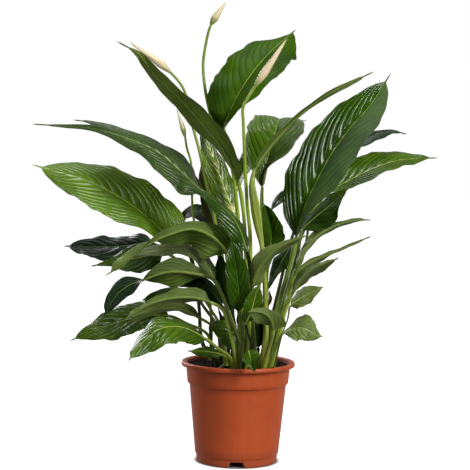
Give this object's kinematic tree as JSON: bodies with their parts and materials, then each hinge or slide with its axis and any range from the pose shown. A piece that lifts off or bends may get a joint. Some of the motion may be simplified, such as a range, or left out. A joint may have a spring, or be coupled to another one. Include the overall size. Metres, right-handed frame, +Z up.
{
  "type": "potted peace lily",
  "caption": "Potted peace lily: a bushy clump of glossy lance-shaped leaves and closed cream flowers on tall stalks, in a plain tapered terracotta-coloured plastic nursery pot.",
  "frame": {"origin": "on the ground, on the pot's axis, which is also the middle of the plant's spread", "axes": "+Z up; the plant's best side, the one in the picture, faces -Y; +X to that viewer's right"},
  "size_m": [0.6323, 0.3536, 0.6882],
  "materials": {
    "terracotta_plastic": "satin",
    "peat": "matte",
    "leaf": "gloss",
    "dry_leaf": "matte",
    "sheath": "satin",
    "flower_stalk": "satin",
    "spathe": "satin"
  },
  "bodies": {
    "root": {"pot": "terracotta_plastic", "soil": "peat", "high_left_leaf": "leaf", "tall_leaf": "leaf", "far_left_leaf": "leaf", "shadow_left_leaf": "leaf", "inner_edge_leaf": "leaf", "glossy_centre_leaf": "leaf", "back_peak_leaf": "leaf", "back_dark_leaf": "leaf", "left_arch_leaf": "leaf", "bright_left_leaf": "leaf", "blue_left_leaf": "leaf", "low_tail_leaf": "leaf", "folded_left_leaf": "leaf", "twisted_left_leaf": "leaf", "small_left_leaf": "leaf", "low_arch_leaf": "leaf", "low_left_leaf": "leaf", "low_band_leaf": "leaf", "front_left_leaf": "leaf", "soil_leaf": "leaf", "rim_leaf": "leaf", "striped_right_leaf": "leaf", "right_back_leaf": "leaf", "right_grey_leaf": "leaf", "right_dark_leaf": "leaf", "edge_right_leaf": "leaf", "round_back_leaf": "leaf", "dark_standing_leaf": "leaf", "right_curl_leaf": "leaf", "front_glossy_leaf": "leaf", "front_small_leaf": "leaf", "grey_fold_leaf": "leaf", "centre_arch_leaf": "leaf", "right_edge_leaf": "leaf", "right_thin_leaf": "leaf", "right_low_leaf": "leaf", "small_right_leaf": "leaf", "low_right_leaf": "leaf", "drooping_leaf": "leaf", "shade_leaf": "leaf", "inner_dark_leaf": "leaf", "under_fold_leaf": "leaf", "low_back_leaf": "leaf", "centre_back_leaf": "leaf", "veined_back_leaf": "leaf", "withered_leaf": "dry_leaf", "curled_bract": "sheath", "top_flower_stalk": "flower_stalk", "top_flower_spathe": "spathe", "right_flower_stalk": "flower_stalk", "right_flower_spathe": "spathe", "left_flower_stalk": "flower_stalk", "left_flower_spathe": "spathe", "small_flower_stalk": "flower_stalk", "small_flower_spathe": "spathe"}
  },
  "joints": []
}
